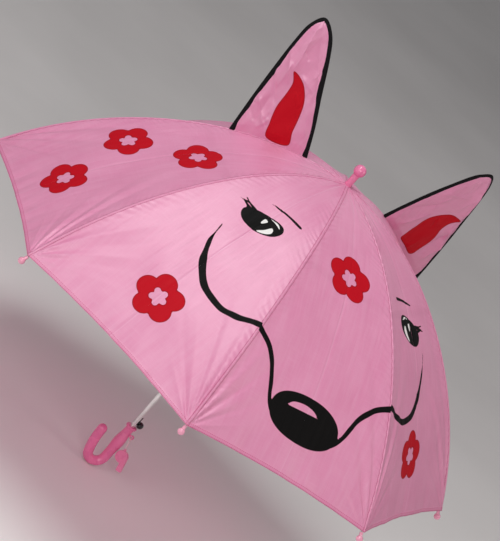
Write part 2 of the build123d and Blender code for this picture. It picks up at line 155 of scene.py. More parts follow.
# The printed flowers: panel, u, s and turn in degrees.
FLOWERS = (
    (4, 2, 422, 30), (4, -52, 322, 10), (4, 12, 235, 48),
    (5, 0, 409, 37), (6, 0, 189, 54), (7, -17, 406, 56),
    (0, -2, 422, 6), (0, 52, 322, 26), (0, -12, 235, 60),
    (1, 38, 400, 15), (1, -18, 290, 40), (2, 0, 392, 0),
    (2, 6, 232, 30), (3, -38, 400, 55), (3, 18, 290, 5),
)
PETALS = 5
PETAL_OUT = 20.5
PETAL_RADIUS = 15.5
CORE_RADIUS = 24.0
HOLE_LOBE_OUT = 8.8
HOLE_LOBE_RADIUS = 4.4
HOLE_RADIUS = 8.8

# The ears, in the plane of their ribs: distance from the shaft's axis and height over the crown.
# Each fold is a crease from one point to another, with its height and how soon it fades sideways.
EARS = {
    "ear_left": {
        "rib": 4,
        "lean": 0.0,
        "inner": ((66, -8), (85, 32), (106, 70), (130, 115), (149, 143)),
        "apex": (171, 156),
        "outer": ((171, -47), (177, 14), (181, 66), (183, 105), (182, 136)),
        "foot": ((66, -8), (118, -24), (171, -47)),
        "patch": (
            (126, -22), (97, -12), (104, 8), (110, 29), (118, 49), (131, 65), (144, 72.5), (157, 74),
            (148, 61), (145, 45), (143, 20), (136, -2),
        ),
        "folds": (
            ((157, 72), (172, 148), 2.6, 7.0), ((104, 56), (164, 142), -1.8, 6.0),
            ((150, 52), (181, 98), 1.6, 5.0),
            ((146, 20), (180, 60), -1.4, 5.0), ((138, -14), (176, 22), 1.5, 5.0),
            ((160, 40), (166, 84), 1.2, 4.0),
            ((114, 66), (146, 76), 1.2, 4.0), ((84, 8), (112, 48), 1.2, 5.0),
            ((150, -18), (160, 30), -1.2, 5.0),
        ),
    },
    "ear_right": {
        "rib": 1,
        "lean": 11.0,
        "inner": ((104, -20), (117, 12), (132, 45), (149, 76), (163, 99), (174, 110)),
        "apex": (190, 117),
        "outer": ((263, -88), (256, -60), (248, -30), (239, 2), (229, 34), (217, 73), (204, 104)),
        "foot": ((104, -20), (150, -37), (188, -56), (224, -72), (263, -88)),
        "patch": (
            (165, -37), (164, -24), (165, -8), (168, 8), (174, 19),
            (183, 27), (196, 33), (209, 34), (222, 31),
            (215, 25), (209, 17), (208, 5), (213, -11), (214, -28), (211, -41), (205, -54), (185, -46),
        ),
        "folds": (
            ((222, 33), (196, 108), 2.2, 7.0), ((120, 2), (172, 46), -1.4, 6.0),
            ((218, 20), (240, -30), 1.8, 6.0),
            ((216, -50), (226, 10), -1.6, 6.0), ((150, 60), (196, 70), 1.2, 5.0),
            ((136, -18), (166, 20), 1.4, 5.0),
            ((228, -58), (240, -8), 1.4, 5.0), ((196, 40), (208, 88), 1.0, 5.0),
        ),
    },
}
EAR_CELL = 1.3
EAR_FOLD = 2.1
SMALL_FOLDS = 40
EAR_GAP = 0.5
EAR_EDGE_REACH = 14.0
EAR_PUFF = 2.6
EAR_CREASE = 0.5
TAPE_HALF_WIDTH = 3.9
TAPE_HALF_THICK = 1.5

# Colours, linear.
PINK = (0.83, 0.31, 0.51)
PINK_DEEP = (0.76, 0.23, 0.43)
# PINK_LIGHT also paints a highlight along each panel's middle fold.
PINK_LIGHT = (0.91, 0.50, 0.68)
# PINK_SHADE is painted shade, beside the seams and along the hem's edge.
PINK_SHADE = (0.50, 0.09, 0.22)
THREAD = (0.62, 0.05, 0.19)
PRINT_RED = (0.52, 0.002, 0.012)
PRINT_RED_EDGE = (0.36, 0.001, 0.010)
PRINT_BLACK = (0.002, 0.002, 0.002)
PRINT_WHITE = (0.86, 0.86, 0.84)
HANDLE_PINK = (0.90, 0.20, 0.42)
TIP_PINK = (0.92, 0.40, 0.56)
FERRULE_PINK = (0.86, 0.22, 0.42)
WHISTLE_PINK = (0.92, 0.27, 0.47)

CAMERA_PLACE = (-2.093691, -3.670963, 1.550838)
CAMERA_RIGHT = (0.742449, -0.202762, 0.638480)
CAMERA_UP = (-0.476370, 0.510308, 0.716001)
CAMERA_FORWARD = (0.470999, 0.835747, -0.282288)
CAMERA_LENS = 214.46


# --- Shapes ---------------------------------------------------------------------------------


def smooth(x):
    """0 up to 1, level at both ends."""
    x = np.clip(x, 0.0, 1.0)
    return x * x * (3 - 2 * x)


def ripples(x, y, wavelength, seed, count=6):
    """Uneven waves over a surface, about -1 to 1."""
    rng = np.random.default_rng(seed)
    total = np.zeros_like(x)
    for _ in range(count):
        angle, phase = rng.uniform(0, 2 * pi, 2)
        k = 2 * pi / (wavelength * rng.uniform(0.7, 1.4))
        total += np.sin(k * (x * cos(angle) + y * sin(angle)) + phase)
    return total / sqrt(count)


def through(points, closed=False, steps=10):
    """A smooth curve through the points (Catmull-Rom)."""
    p = np.array(points, float)
    if closed:
        p = np.concatenate([p[-1:], p, p[:2]])
    else:
        p = np.concatenate([2 * p[:1] - p[1:2], p, 2 * p[-1:] - p[-2:-1]])
    t = np.linspace(0, 1, steps, endpoint=False)[:, None]
    runs = []
    for a, b, c, d in zip(p[:-3], p[1:-2], p[2:-1], p[3:]):
        bend = 2 * a - 5 * b + 4 * c - d
        twist = 3 * b - a - 3 * c + d
        runs.append(0.5 * (2 * b + (c - a) * t + bend * t**2 + twist * t**3))
    if not closed:
        runs.append(p[-2:-1])
    return np.concatenate(runs)


def nearest(points, line, closed=False):
    """Distance from each point to a line of short runs, and how far along the line that is, 0 to 1."""
    ends = np.roll(line, -1, axis=0) if closed else line[1:]
    starts = line if closed else line[:-1]
    best = np.full(len(points), 1e9)
    along = np.zeros(len(points))
    for i, (a, b) in enumerate(zip(starts, ends)):
        d = b - a
        t = np.clip(((points - a) @ d) / max(float(d @ d), 1e-12), 0, 1)
        gap = np.linalg.norm(points - a - t[:, None] * d, axis=1)
        nearer = gap < best
        best[nearer] = gap[nearer]
        along[nearer] = (i + t[nearer]) / len(starts)
    return best, along


def in_outline(points, outline):
    """Distance inside a closed outline, negative outside."""
    gap, _ = nearest(points, outline, closed=True)
    inside = np.zeros(len(points), bool)
    for a, b in zip(outline, np.roll(outline, -1, axis=0)):
        crosses = (a[1] > points[:, 1]) != (b[1] > points[:, 1])
        rise = b[1] - a[1] if b[1] != a[1] else 1e-12
        inside ^= crosses & (points[:, 0] < a[0] + (points[:, 1] - a[1]) * (b[0] - a[0]) / rise)
    return np.where(inside, gap, -gap)


def in_stroke(points, line, start, middle, end):
    """Distance inside a brush stroke whose half width swells from start to middle to end."""
    gap, along = nearest(points, line)
    half = np.interp(along, (0.0, 0.22, 1.0), (start, middle, end))
    uneven = 0.08 * middle * ripples(points[:, 0], points[:, 1], 26.0, 8)
    return half + uneven - gap


def in_flower(points, turn):
    """Distance inside a five-petalled flower with a lobed hole, about the origin."""
    solid = CORE_RADIUS - np.linalg.norm(points, axis=1)
    hole = HOLE_RADIUS - np.linalg.norm(points, axis=1)
    for k in range(PETALS):
        a = radians(turn) + 2 * pi * k / PETALS
        petal = np.array((cos(a), sin(a)))
        solid = np.maximum(solid, PETAL_RADIUS - np.linalg.norm(points - PETAL_OUT * petal, axis=1))
        b = a + pi / PETALS
        lobe = np.array((cos(b), sin(b)))
        hole = np.maximum(hole, HOLE_LOBE_RADIUS - np.linalg.norm(points - HOLE_LOBE_OUT * lobe, axis=1))
    return np.minimum(solid, -hole)


def in_nose(points):
    """Distance inside the rounded nose, without its pink shine."""
    x = (points - np.array(NOSE_CENTRE)) / (NOSE_HALF_WIDTH, NOSE_HALF_HEIGHT)
    size = (np.abs(x) ** NOSE_POWER).sum(axis=1) ** (1 / NOSE_POWER)
    body = (1 - size) * NOSE_HALF_HEIGHT
    return np.minimum(body, -in_outline(points, through(NOSE_SHINE)))


def prints(panel, u, s):
    """The black, red and white print on a panel, as distances inside each colour."""
    points = np.stack([u, s], axis=1)
    black = np.full(len(u), -9.0)
    red = black.copy()
    white = black.copy()
    for on, x, y, turn in FLOWERS:
        if on == panel:
            red = np.maximum(red, in_flower(points - (x, y), turn))
    if panel == NOSE_PANEL:
        sides = points * (-1, 1)
        for half in (points, sides):
            black = np.maximum(black, in_stroke(half, through(MUZZLE), 4.4, 4.2, 2.5))
        black = np.maximum(black, in_nose(points))
    for on, x, y, turn in EYES:
        if on == panel:
            points = points * (NOSE_PANEL - panel, 1)
            black = np.maximum(black, in_stroke(points, through(CHEEK), 0.3, 5.3, 4.2))
            c, d = cos(radians(turn)), sin(radians(turn))
            points = (points - (x, y) - EYE_CENTRE) @ np.array(((c, -d), (d, c))) + EYE_CENTRE
            black = np.maximum(black, in_outline(points, through(EYE, closed=True)))
            for lash in LASHES:
                black = np.maximum(black, in_stroke(points, through(lash), 0.3, 1.2, 2.6))
            black = np.maximum(black, in_stroke(points, through(BROW), 1.2, 1.7, 2.5))
            for shine in EYE_SHINES:
                white = np.maximum(white, in_outline(points, through(shine, closed=True)))
    return np.stack([black, red, white], axis=1)


def profile(s):
    """Radius, height and slope of a seam, s down it from the crown."""
    upper = s < UPPER_LENGTH
    below_knee = s - UPPER_LENGTH
    slope = np.where(upper, CROWN_SLOPE + s / UPPER_RADIUS, KNEE_SLOPE + below_knee / LOWER_RADIUS)
    x = CROWN_RADIUS - UPPER_RADIUS * sin(CROWN_SLOPE)
    z = CLOTH_TOP - UPPER_RADIUS * cos(CROWN_SLOPE)
    knee_x = x + (UPPER_RADIUS - LOWER_RADIUS) * sin(KNEE_SLOPE)
    knee_z = z + (UPPER_RADIUS - LOWER_RADIUS) * cos(KNEE_SLOPE)
    radius = np.where(upper, x + UPPER_RADIUS * np.sin(slope), knee_x + LOWER_RADIUS * np.sin(slope))
    height = np.where(upper, z + UPPER_RADIUS * np.cos(slope), knee_z + LOWER_RADIUS * np.cos(slope))
    return radius, height, slope


def flat_cut(start, end):
    """Width, length and area of one rib's cloth as it is cut, from the pattern of a panel."""
    s = np.linspace(start, end, 200)
    radius, _, slope = profile(s)
    width = 2 * radius * sin(HALF_PANEL)
    strip = width * np.hypot(cos(HALF_PANEL) * np.cos(slope), np.sin(slope))
    area = float(((strip[1:] + strip[:-1]) / 2 * np.diff(s)).sum())
    if end == SEAM_LENGTH:
        area -= float(strip[-1]) * SCALLOP * 2 / 3
    return float(width.max()), end - start, area


def tip_pleats(rib, side, off_seam, s):
    """Folds that fan out from a tip, where the cloth is gathered."""
    up = SEAM_LENGTH - s
    reach = np.hypot(off_seam, up)
    angle = np.arctan2(off_seam, np.maximum(up, 1e-6))
    rng = np.random.default_rng(100 + 2 * rib + (side > 0))
    lift = np.zeros_like(s)
    for turn, height, length in PLEATS:
        turn += rng.uniform(-0.06, 0.06)
        height *= rng.uniform(0.5, 1.3)
        width = PLEAT_WIDTH + PLEAT_SPREAD * reach
        across = reach * np.sin(angle - turn) / width
        lift += height * smooth(reach / 16) * np.exp(-((reach / length) ** 1.6)) * np.exp(-(across**2))
    return lift * smooth(off_seam / 5)


def half_cloth(rib, side, q, s):
    """The cloth from a seam (q 0) to the middle of the panel on one side of it (q 1)."""
    panel = (rib - 1 + (side > 0)) % PANELS
    v = 1 - q
    s = s - SCALLOP * (1 - v * v) * smooth((s - SEAM_LENGTH + SCALLOP_REACH) / SCALLOP_REACH)
    radius, height, slope = profile(s)
    half_width = radius * sin(HALF_PANEL)
    u = -side * half_width * v
    off_seam = half_width * q
    to_hem = SEAM_LENGTH - SCALLOP * (1 - v * v) - s
    azimuth = panel * 2 * HALF_PANEL
    turn = azimuth + np.arctan2(u, radius * cos(HALF_PANEL))
    loose = (1 - v * v) * smooth(s / 120)
    lift = -SAG * (1 - v * v) * smooth(s / 300) * (1 - 0.3 * smooth((s - 380) / 120))
    lift += BROAD_WAVE * loose * ripples(u, s, 95.0, panel)
    rng = np.random.default_rng(77)
    creases = sum(np.sin(n * turn + p) for n, p in zip((24, 31, 43, 56), rng.uniform(0, 6, 4))) / 2
    lift += CROWN_CREASE * np.exp(-s / CROWN_CREASE_REACH) * smooth(s / 12) * creases
    lift += tip_pleats(rib, side, off_seam, s)
    wave = np.sin(2 * pi * (s + 0.7 * off_seam) / PUCKER_LENGTH + 2 * ripples(s, s, 70.0, 40 + rib))
    lift += PUCKER * np.exp(-off_seam / PUCKER_REACH) * smooth(off_seam / 2) * wave
    lift += WELT * smooth((WELT_WIDTH - off_seam) / WELT_WIDTH)
    lift += HEM_STEP * smooth((HEM_WIDTH + 0.6 - to_hem) / 0.6)
    lift += HEM_WAVE * loose * smooth((60 - to_hem) / 60) * ripples(u, s * 0.2, 34.0, 60 + panel)
    lift -= PRESSED_FOLD * np.exp(-((u / 1.6) ** 2)) * smooth(s / 60)
    out = lift * np.sin(slope)
    x = radius * cos(HALF_PANEL) * cos(azimuth) - u * sin(azimuth) + out * np.cos(turn)
    y = radius * cos(HALF_PANEL) * sin(azimuth) + u * cos(azimuth) + out * np.sin(turn)
    z = height + lift * np.cos(slope)
    place = np.stack([x, y, z], axis=-1)
    return place, panel, u, s, off_seam, to_hem


def outward_normals(rib, side, q, s):
    """Normals of the cloth, the same on both sides of a join between two pieces."""
    step = 0.4
    radius, _, _ = profile(s)
    dq = step / (radius * sin(HALF_PANEL))
    across = half_cloth(rib, side, q + dq, s)[0] - half_cloth(rib, side, np.maximum(q - dq, 0), s)[0]
    down = half_cloth(rib, side, q, s + step)[0] - half_cloth(rib, side, q, np.maximum(s - step, 0))[0]
    n = np.cross(down, across) * side
    return n / np.linalg.norm(n, axis=-1, keepdims=True)


# --- Meshes ---------------------------------------------------------------------------------


def new_mesh(name, vertices, faces, material):
    """A smooth mesh object, from points in metres."""
    mesh = bpy.data.meshes.new(name)
    mesh.from_pydata(np.asarray(vertices).tolist(), [], np.asarray(faces).tolist())
    mesh.polygons.foreach_set("use_smooth", np.ones(len(mesh.polygons), bool))
    mesh.materials.append(material)
    obj = bpy.data.objects.new(name, mesh)
    bpy.context.scene.collection.objects.link(obj)
    return obj


def set_vectors(obj, name, values):
    """A named vector on each vertex, for the material to read."""
    attribute = obj.data.attributes.new(name, "FLOAT_VECTOR", "POINT")
    attribute.data.foreach_set("vector", np.asarray(values, np.float32).ravel())


def grid_faces(rows, columns):
    """Quads over a grid of points stored row by row."""
    i = np.arange(rows - 1)[:, None] * columns + np.arange(columns - 1)[None, :]
    i = i.ravel()
    return np.stack([i, i + columns, i + columns + 1, i + 1], axis=1)


def canopy_piece(rib, zone, material):
    """The cloth that one rib carries over one stretch, from mid-panel to mid-panel."""
    start, end, keep, body = ZONES[zone]
    lap = LAP if end == UPPER_LENGTH else 0.0
    rows = int((end + lap - start) / CELL) + 2
    s_line = np.linspace(start, end + lap, rows)
    if lap:
        s_line = np.sort(np.append(s_line, [UPPER_LENGTH, UPPER_LENGTH + 1.0]))
    wide = profile(np.array([end]))[0][0] * sin(HALF_PANEL)
    near = np.array([0.0, 0.9, 1.8, 2.7, 4.0]) / wide
    q_line = np.append(near, np.linspace(near[-1], 1.0, int(wide / CELL) + 2)[1:])
    q, s = np.meshgrid(q_line, s_line)
    parts = []
    for side in (-1, 1):
        place, panel, u, down, off_seam, to_hem = half_cloth(rib, side, q, s)
        normal = outward_normals(rib, side, q, s)
        place = place - normal * (LAP_DEPTH * smooth(s - end))[..., None] * (lap > 0)
        ink = prints(panel, u.ravel(), down.ravel()).reshape(*q.shape, 3)
        cloth = np.stack([u, down, np.full_like(u, panel * 1000.0)], axis=-1)
        trim = np.stack([off_seam, to_hem, np.abs(u)], axis=-1)
        parts.append([place, normal, ink, cloth, trim])
    left, right = parts
    shared = left[1][:, 0] + right[1][:, 0]
    right[1][:, 0] = shared / np.linalg.norm(shared, axis=-1, keepdims=True)
    joined = [np.concatenate([a[:, :0:-1], b], axis=1) for a, b in zip(left, right)]
    place, normal, ink, cloth, trim = joined
    count_rows, count_columns = place.shape[:2]
    name = f"canopy_{rib}_{zone + 1}"
    obj = new_mesh(name, place.reshape(-1, 3) * MM, grid_faces(count_rows, count_columns), material)
    set_vectors(obj, "ink", ink.reshape(-1, 3))
    set_vectors(obj, "cloth", cloth.reshape(-1, 3))
    set_vectors(obj, "trim", trim.reshape(-1, 3))
    obj.data.normals_split_custom_set_from_vertices(normal.reshape(-1, 3).tolist())
    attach(obj, f"{body}{rib}")
    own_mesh(obj)
    node = "canopy_upper_" if body == "rib_inner_" else "canopy_lower_"
    if zone in (0, len(ZONES) - 1):
        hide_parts(f"{node}{rib}")
    width, length, area = flat_cut(start, end + lap)
    return obj


def ear_point(spec, at, off):
    """A point of an ear, from its place in the ear's plane and how far it stands off that plane."""
    azimuth = (2 * spec["rib"] - 1) * HALF_PANEL
    near = np.array(spec["inner"][0], float)
    far = np.array(spec["outer"][0], float)
    base = (far - near) / np.linalg.norm(far - near)
    lean = radians(spec["lean"])
    rel = at - near
    along = rel @ base
    across = rel @ np.array((-base[1], base[0]))
    up = across * cos(lean) + off * sin(lean)
    aside = -across * sin(lean) + off * cos(lean)
    radial = near[0] + along * base[0] - up * base[1]
    height = near[1] + along * base[1] + up * base[0]
    x = radial * cos(azimuth) - aside * sin(azimuth)
    y = radial * sin(azimuth) + aside * cos(azimuth)
    return np.stack([x, y, height + CLOTH_TOP], axis=-1)


def resampled(line, count):
    """The same line with evenly spaced points."""
    step = np.linalg.norm(np.diff(line, axis=0), axis=1)
    at = np.concatenate([[0.0], np.cumsum(step)])
    even = np.linspace(0, at[-1], count)
    return np.stack([np.interp(even, at, line[:, k]) for k in range(line.shape[1])], axis=1)


def ear_folds(spec, x, y, side):
    """The creases of one side of an ear: the ones given, and a scatter of small ones."""
    points = np.stack([x.ravel(), y.ravel()], axis=1)
    rng = np.random.default_rng(500 + 10 * spec["rib"] + side)
    folds = list(spec["folds"])
    for _ in range(SMALL_FOLDS):
        start = points[rng.integers(len(points))]
        angle = rng.uniform(0.5, 2.0)
        size = rng.uniform(8, 30)
        end = start + size * np.array((cos(angle), sin(angle)))
        folds.append((start, end, rng.uniform(-0.8, 0.8), rng.uniform(1.6, 3.2)))
    lift = np.zeros(len(points))
    for start, end, height, width in folds:
        gap, along = nearest(points, np.array((start, end), float))
        lift += height * np.exp(-gap / width) * smooth(4 * along * (1 - along) + 0.15)
    return EAR_FOLD * lift.reshape(x.shape)


def hold_ear(obj, spec):
    """Fixes a piece of the left ear to its rib; a piece of the right ear stays where it is made."""
    rib = spec["rib"]
    if spec is EARS["ear_right"]:
        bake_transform(obj)
    else:
        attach(obj, f"rib_inner_{rib}")


def make_ear(name, material, binding):
    """A double layer of cloth with creases, bound in black along its two free edges."""
    spec = EARS[name]
    outline = through((*spec["inner"], spec["apex"], *spec["outer"][::-1]), steps=16)
    top = 16 * len(spec["inner"])
    rows = int(np.linalg.norm(outline[top] - outline[0]) / EAR_CELL)
    inner = resampled(outline[: top + 1], rows)[: rows - 2]
    outer = resampled(outline[top:][::-1], rows)[: rows - 2]
    rows -= 2
    columns = int(np.linalg.norm(outer[0] - inner[0]) / EAR_CELL)
    foot = resampled(through(spec["foot"]), columns)
    w = np.linspace(0, 1, columns)[None, :] * np.ones((rows, 1))
    t = np.linspace(0, 1, rows)[:, None] * np.ones((1, columns))
    flat = inner[:, None] * (1 - w[..., None]) + outer[:, None] * w[..., None]
    flat += (foot[None] - flat[:1]) * (1 - t[..., None]) ** 2
    x = flat[..., 0]
    y = flat[..., 1]
    to_edge = np.minimum(w, 1 - w) * np.linalg.norm(outer - inner, axis=1)[:, None]
    free = smooth(to_edge / EAR_EDGE_REACH) * smooth(t / 0.08)
    count = rows * columns
    layers = []
    for side in (-1, 1):
        loose = ear_folds(spec, x, y, side) + EAR_CREASE * ripples(x, y, 40.0, 300 + side)
        off = side * (EAR_GAP + free * np.maximum(EAR_PUFF + loose, 0))
        layers.append(ear_point(spec, flat, off))
    faces = grid_faces(rows, columns)
    vertices = np.concatenate([p.reshape(-1, 3) for p in layers])
    rim = np.concatenate([
        np.arange(columns), columns * np.arange(1, rows) + columns - 1,
        count - 2 - np.arange(columns - 1), columns * np.arange(rows - 2, 0, -1),
    ])
    after = np.roll(rim, -1)
    walls = np.stack([rim, after, after + count, rim + count], axis=1)
    faces = np.concatenate([faces, faces[:, ::-1] + count, walls])
    obj = new_mesh(name + "_cloth", vertices * MM, faces, material)
    red = in_outline(flat.reshape(-1, 2), through(spec["patch"], closed=True, steps=6))
    none = np.full(count, -9.0)
    set_vectors(obj, "ink", np.tile(np.stack([none, red, none], axis=1), (2, 1)))
    set_vectors(obj, "cloth", np.tile(np.stack([x.ravel(), y.ravel(), none], axis=1), (2, 1)))
    set_vectors(obj, "trim", np.full((2 * count, 3), 90.0))
    hold_ear(obj, spec)
    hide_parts(name)
    make_tape(name, spec, resampled(outline, 3 * rows), binding)


def make_tape(name, spec, outline, material):
    """Tape folded over the edge of an ear: a flat oval swept along its outline."""
    ahead = np.gradient(outline, axis=0)
    ahead /= np.linalg.norm(ahead, axis=1, keepdims=True)
    inwards = np.stack([ahead[:, 1], -ahead[:, 0]], axis=1)
    rings = []
    sides = 12
    for k in range(sides):
        a = 2 * pi * k / sides
        across = TAPE_HALF_WIDTH * (cos(a) + 0.85)
        off = np.full(len(outline), TAPE_HALF_THICK * sin(a))
        rings.append(ear_point(spec, outline + inwards * across, off))
    place = np.stack(rings, axis=1)
    place = np.concatenate([place, place[:, :1]], axis=1)
    faces = grid_faces(len(outline), sides + 1)
    wrap = faces % (sides + 1) == sides
    faces = np.where(wrap, faces - sides, faces)
    obj = new_mesh(name + "_binding", place.reshape(-1, 3) * MM, faces[:, ::-1], material)
    hold_ear(obj, spec)


# --- Materials ------------------------------------------------------------------------------


class Nodes:
    """Short calls for building one material's nodes."""

    def __init__(self, name):
        self.material = bpy.data.materials.new(name)
        self.material.use_nodes = True
        self.tree = self.material.node_tree
        self.tree.nodes.clear()
        self.output = self.add("ShaderNodeOutputMaterial")

    def add(self, kind, **settings):
        node = self.tree.nodes.new(kind)
        for key, value in settings.items():
            setattr(node, key, value)
        return node

    def link(self, source, target):
        self.tree.links.new(source, target)

    def math(self, operation, a, b=0.0, clamp=False):
        node = self.add("ShaderNodeMath", operation=operation, use_clamp=clamp)
        for socket, value in zip(node.inputs, (a, b)):
            if isinstance(value, (int, float)):
                socket.default_value = value
            else:
                self.link(value, socket)
        return node.outputs[0]

    def ramp(self, value, low, high, out_low=0.0, out_high=1.0):
        node = self.add("ShaderNodeMapRange")
        self.link(value, node.inputs["Value"])
        node.inputs["From Min"].default_value = low
        node.inputs["From Max"].default_value = high
        node.inputs["To Min"].default_value = out_low
        node.inputs["To Max"].default_value = out_high
        return node.outputs[0]

    def mix(self, share, a, b):
        node = self.add("ShaderNodeMix", data_type="RGBA")
        for socket, value in ((node.inputs[0], share), (node.inputs[6], a), (node.inputs[7], b)):
            if isinstance(value, (int, float)):
                socket.default_value = value
            elif isinstance(value, tuple):
                socket.default_value = (*value, 1.0)
            else:
                self.link(value, socket)
        return node.outputs[2]

    def attribute(self, name):
        node = self.add("ShaderNodeAttribute", attribute_name=name)
        split = self.add("ShaderNodeSeparateXYZ")
        self.link(node.outputs["Vector"], split.inputs[0])
        return node.outputs["Vector"], split.outputs

    def scaled(self, vector, scale):
        node = self.add("ShaderNodeVectorMath", operation="MULTIPLY")
        self.link(vector, node.inputs[0])
        node.inputs[1].default_value = scale
        return node.outputs[0]

    def noise(self, vector, scale, detail=3.0, rough=0.5):
        node = self.add("ShaderNodeTexNoise")
        self.link(vector, node.inputs["Vector"])
        node.inputs["Scale"].default_value = scale
        node.inputs["Detail"].default_value = detail
        node.inputs["Roughness"].default_value = rough
        return node.outputs[0]

    def bump(self, height, strength, distance, before=None):
        node = self.add("ShaderNodeBump")
        self.link(height, node.inputs["Height"])
        node.inputs["Strength"].default_value = strength
        node.inputs["Distance"].default_value = distance
        if before is not None:
            self.link(before, node.inputs["Normal"])
        return node.outputs[0]

    def principled(self, color, roughness, normal=None, **fixed):
        node = self.add("ShaderNodeBsdfPrincipled")
        self.link(color, node.inputs["Base Color"])
        self.link(roughness, node.inputs["Roughness"])
        if normal is not None:
            self.link(normal, node.inputs["Normal"])
        for key, value in fixed.items():
            node.inputs[key.replace("_", " ")].default_value = value
        return node.outputs[0]

    def shaders(self, share, a, b):
        node = self.add("ShaderNodeMixShader")
        if isinstance(share, float):
            node.inputs[0].default_value = share
        else:
            self.link(share, node.inputs[0])
        self.link(a, node.inputs[1])
        self.link(b, node.inputs[2])
        return node.outputs[0]

    def band(self, value, centre, half):
        """1 within half of centre, 0 outside."""
        off = self.math("ABSOLUTE", self.math("SUBTRACT", value, centre))
        return self.ramp(off, half + 0.15, half - 0.15)

    def dashes(self, value, length):
        """1 and 0 by turns along a value."""
        wave = self.math("SINE", self.math("MULTIPLY", value, 2 * pi / length))
        return self.ramp(wave, -0.25, 0.1)


def cloth_material(name, gloss):
    """Pink polyester taffeta with a satin gloss, a matt print, and seam and hem stitching."""
    n = Nodes(name)
    cloth, (across, down, _) = n.attribute("cloth")
    _, (black, red, white) = n.attribute("ink")
    _, (off_seam, to_hem, off_middle) = n.attribute("trim")
    blotch = n.noise(cloth, 0.018, 4.0)
    streaks = n.noise(n.scaled(cloth, (0.16, 0.012, 1.0)), 1.0, 3.0)
    warp = n.noise(n.scaled(cloth, (1.1, 0.03, 1.0)), 1.0, 2.0)
    weft = n.noise(n.scaled(cloth, (0.03, 1.1, 1.0)), 1.0, 2.0)
    fine = n.math("MAXIMUM", warp, weft)
    color = n.mix(n.ramp(blotch, 0.35, 0.65), PINK_DEEP, PINK)
    color = n.mix(0.6, color, PINK)
    color = n.mix(n.ramp(streaks, 0.4, 0.7, 0.0, 0.18), color, PINK_LIGHT)
    color = n.mix(n.ramp(fine, 0.50, 0.75, 0.0, 0.22), color, PINK_LIGHT)
    in_hem = n.ramp(to_hem, HEM_WIDTH, HEM_WIDTH - 0.4)
    color = n.mix(n.math("MULTIPLY", in_hem, 0.5), color, PINK_DEEP)
    # Painted shade: a darker line along the hem's turned edge.
    edge = n.math("MULTIPLY", n.ramp(to_hem, 1.5, 0.8), 0.6)
    color = n.mix(edge, color, PINK_SHADE)
    # Painted highlight: a paler line along the pressed fold in the middle of each panel.
    fold = n.math("MULTIPLY", n.ramp(off_middle, 1.0, 0.2), 0.35)
    color = n.mix(fold, color, PINK_LIGHT)
    # Painted shade: a darker line beside each raised seam.
    crease = n.math("MULTIPLY", n.band(off_seam, 2.3, 0.55), 0.55)
    color = n.mix(crease, color, PINK_SHADE)
    seam_thread = n.math("MULTIPLY", n.band(off_seam, 2.2, 0.35), n.dashes(down, 2.8))
    hem_rows = n.math("ADD", n.band(to_hem, 1.3, 0.4), n.band(to_hem, 4.8, 0.45), clamp=True)
    hem_thread = n.math("MULTIPLY", hem_rows, n.dashes(across, 2.8))
    thread = n.math("MAXIMUM", seam_thread, hem_thread)
    color = n.mix(n.math("MULTIPLY", thread, 0.85), color, THREAD)
    weave = n.math("MULTIPLY", n.dashes(across, 0.7), n.dashes(down, 0.7))
    rough = n.ramp(streaks, 0.3, 0.7, gloss - 0.05, gloss + 0.05)
    normal = n.bump(streaks, 0.30, 0.0014)
    normal = n.bump(n.noise(cloth, 0.35, 2.0), 0.12, 0.0006, normal)
    normal = n.bump(weave, 0.06, 0.0002, normal)
    normal = n.bump(thread, 0.5, 0.0004, normal)
    sheen = {"Sheen_Weight": 0.06, "Sheen_Roughness": 0.4}
    satin = n.principled(color, rough, normal, Specular_IOR_Level=1.0, **sheen)
    glow = n.add("ShaderNodeBsdfTranslucent")
    n.link(color, glow.inputs["Color"])
    ink = n.mix(n.ramp(red, 0.9, 1.9), PRINT_RED_EDGE, PRINT_RED)
    ink = n.mix(n.ramp(black, -0.25, 0.25), ink, PRINT_BLACK)
    ink = n.mix(n.ramp(white, -0.2, 0.2), ink, PRINT_WHITE)
    ink_rough = n.ramp(streaks, 0.3, 0.7, 0.58, 0.72)
    printed = n.principled(ink, ink_rough, normal, Specular_IOR_Level=0.14)
    any_ink = n.math("MAXIMUM", n.math("MAXIMUM", black, red), white)
    plain = n.shaders(0.12, satin, glow.outputs[0])
    n.link(n.shaders(n.ramp(any_ink, -0.25, 0.25), plain, printed), n.output.inputs["Surface"])
    return n.material


def plastic_material(name, color, dark, roughness, coat):
    """Moulded plastic: a faint flow pattern, fine grain and small changes of gloss."""
    n = Nodes(name)
    place = n.add("ShaderNodeTexCoord").outputs["Object"]
    cloud = n.noise(place, 45.0, 3.0)
    grain = n.noise(place, 1400.0, 2.0)
    tint = n.mix(n.ramp(cloud, 0.3, 0.7), dark, color)
    rough = n.ramp(cloud, 0.3, 0.7, roughness * 0.8, roughness * 1.3)
    normal = n.bump(grain, 0.10, 0.0002)
    shader = n.principled(tint, rough, normal, Coat_Weight=coat, Coat_Roughness=0.08)
    n.link(shader, n.output.inputs["Surface"])
    return n.material


def metal_material(name, color, dark, roughness):
    """Plated steel with fine drawn lines along its length and a few smudges."""
    n = Nodes(name)
    place = n.add("ShaderNodeTexCoord").outputs["Object"]
    lines = n.noise(n.scaled(place, (2600.0, 2600.0, 30.0)), 1.0, 2.0)
    smudge = n.noise(place, 60.0, 4.0)
    tint = n.mix(n.ramp(smudge, 0.35, 0.7), dark, color)
    rough = n.ramp(smudge, 0.3, 0.7, roughness * 0.7, roughness * 1.5)
    normal = n.bump(lines, 0.06, 0.0002)
    shader = n.principled(tint, rough, normal, Metallic=1.0)
    n.link(shader, n.output.inputs["Surface"])
    return n.material


